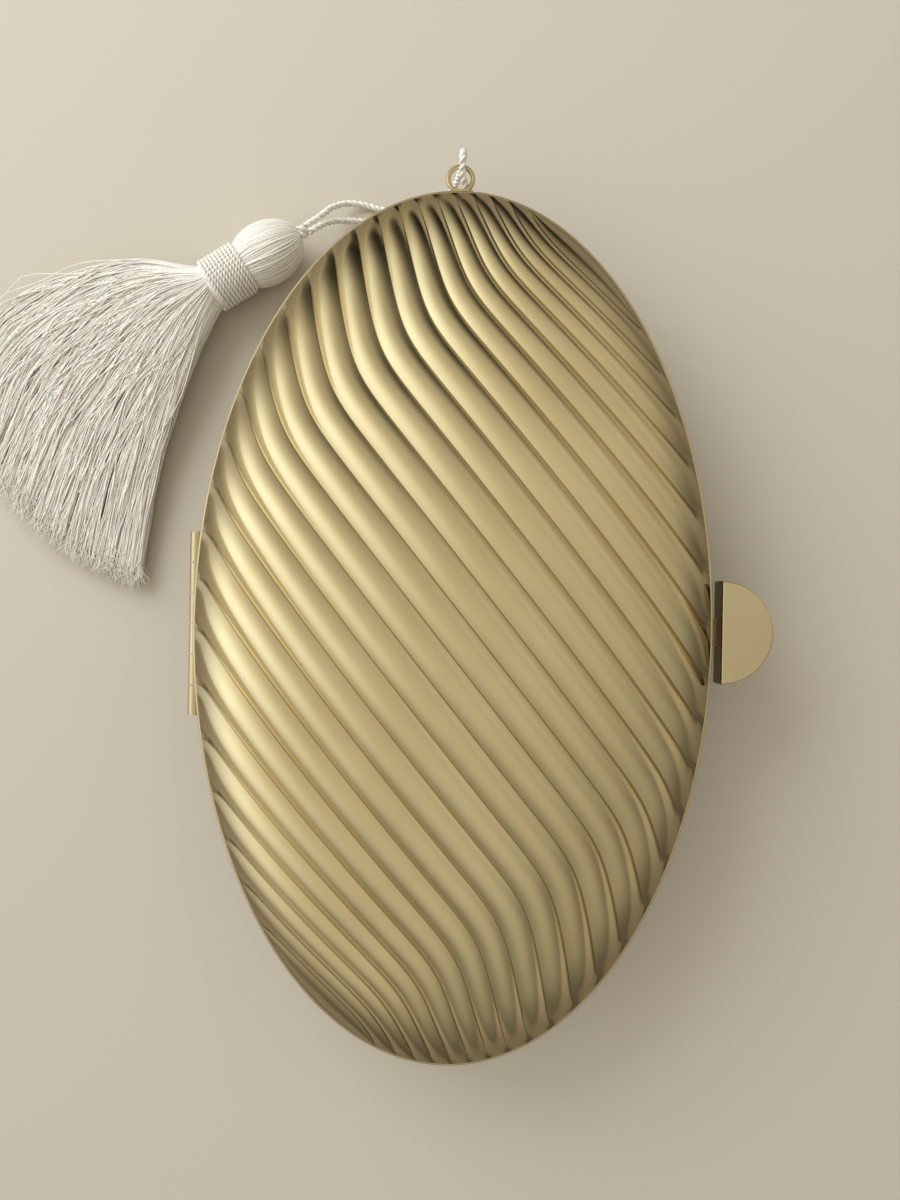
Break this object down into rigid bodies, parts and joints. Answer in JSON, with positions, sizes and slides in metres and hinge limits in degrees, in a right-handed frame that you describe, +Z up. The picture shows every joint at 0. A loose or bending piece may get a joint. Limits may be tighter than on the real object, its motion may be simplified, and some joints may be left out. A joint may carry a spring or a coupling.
{
  "type": "minaudiere",
  "caption": "Oval hard-shell evening case with swirl-fluted brass halves, a side hinge, a thumb-tab clasp and a silk tassel on a cord.",
  "frame": {"origin": "middle of the lapped resting flat on the back half, on the table", "axes": "+X towards the clasp tab, +Y towards the cord eye, +Z up through the front half"},
  "size_m": [0.1806, 0.1909, 0.0447],
  "materials": {
    "fluted_brass": "satin champagne-gold brass, lightly worn",
    "rim_brass": "satin champagne-gold brass, lightly worn",
    "steel": "drawn steel",
    "lining_cloth": "soft matt cloth",
    "silk": "off-white silk thread"
  },
  "bodies": {
    "base": {"back_shell": "fluted_brass", "back_lining": "lining_cloth", "back_frame": "rim_brass", "closing_lip": "rim_brass", "back_hinge_leaf": "rim_brass", "hinge_pin": "steel", "clasp_bracket": "rim_brass", "clasp_pin": "steel", "catch_spring": "steel", "cord_eye": "rim_brass", "tassel_knot": "silk", "tassel_head": "silk", "tassel_neck": "silk", "tassel_binding": "silk", "tassel_skirt": "silk", "tassel_cord": "silk"},
    "lid": {"front_shell": "fluted_brass", "front_lining": "lining_cloth", "front_frame": "rim_brass", "front_hinge_leaf": "rim_brass", "catch_keeper": "rim_brass"},
    "clasp": {"clasp_tab": "rim_brass"}
  },
  "joints": [
    {"name": "lid_hinge", "type": "hinge", "parent": "base", "child": "lid", "pos_m": [-0.0535, 0, 0.0222], "axis": [0, -1, 0], "range_deg": [0, 100], "deforming": ["catch_spring"]},
    {"name": "clasp_lift", "type": "hinge", "parent": "base", "child": "clasp", "pos_m": [0.0483, 0, 0.0213], "axis": [0, -1, 0], "range_deg": [0, 8], "stiffness_Nm_per_rad": 0.05, "springref_deg": -5.73, "deforming": ["catch_spring"]}
  ]
}
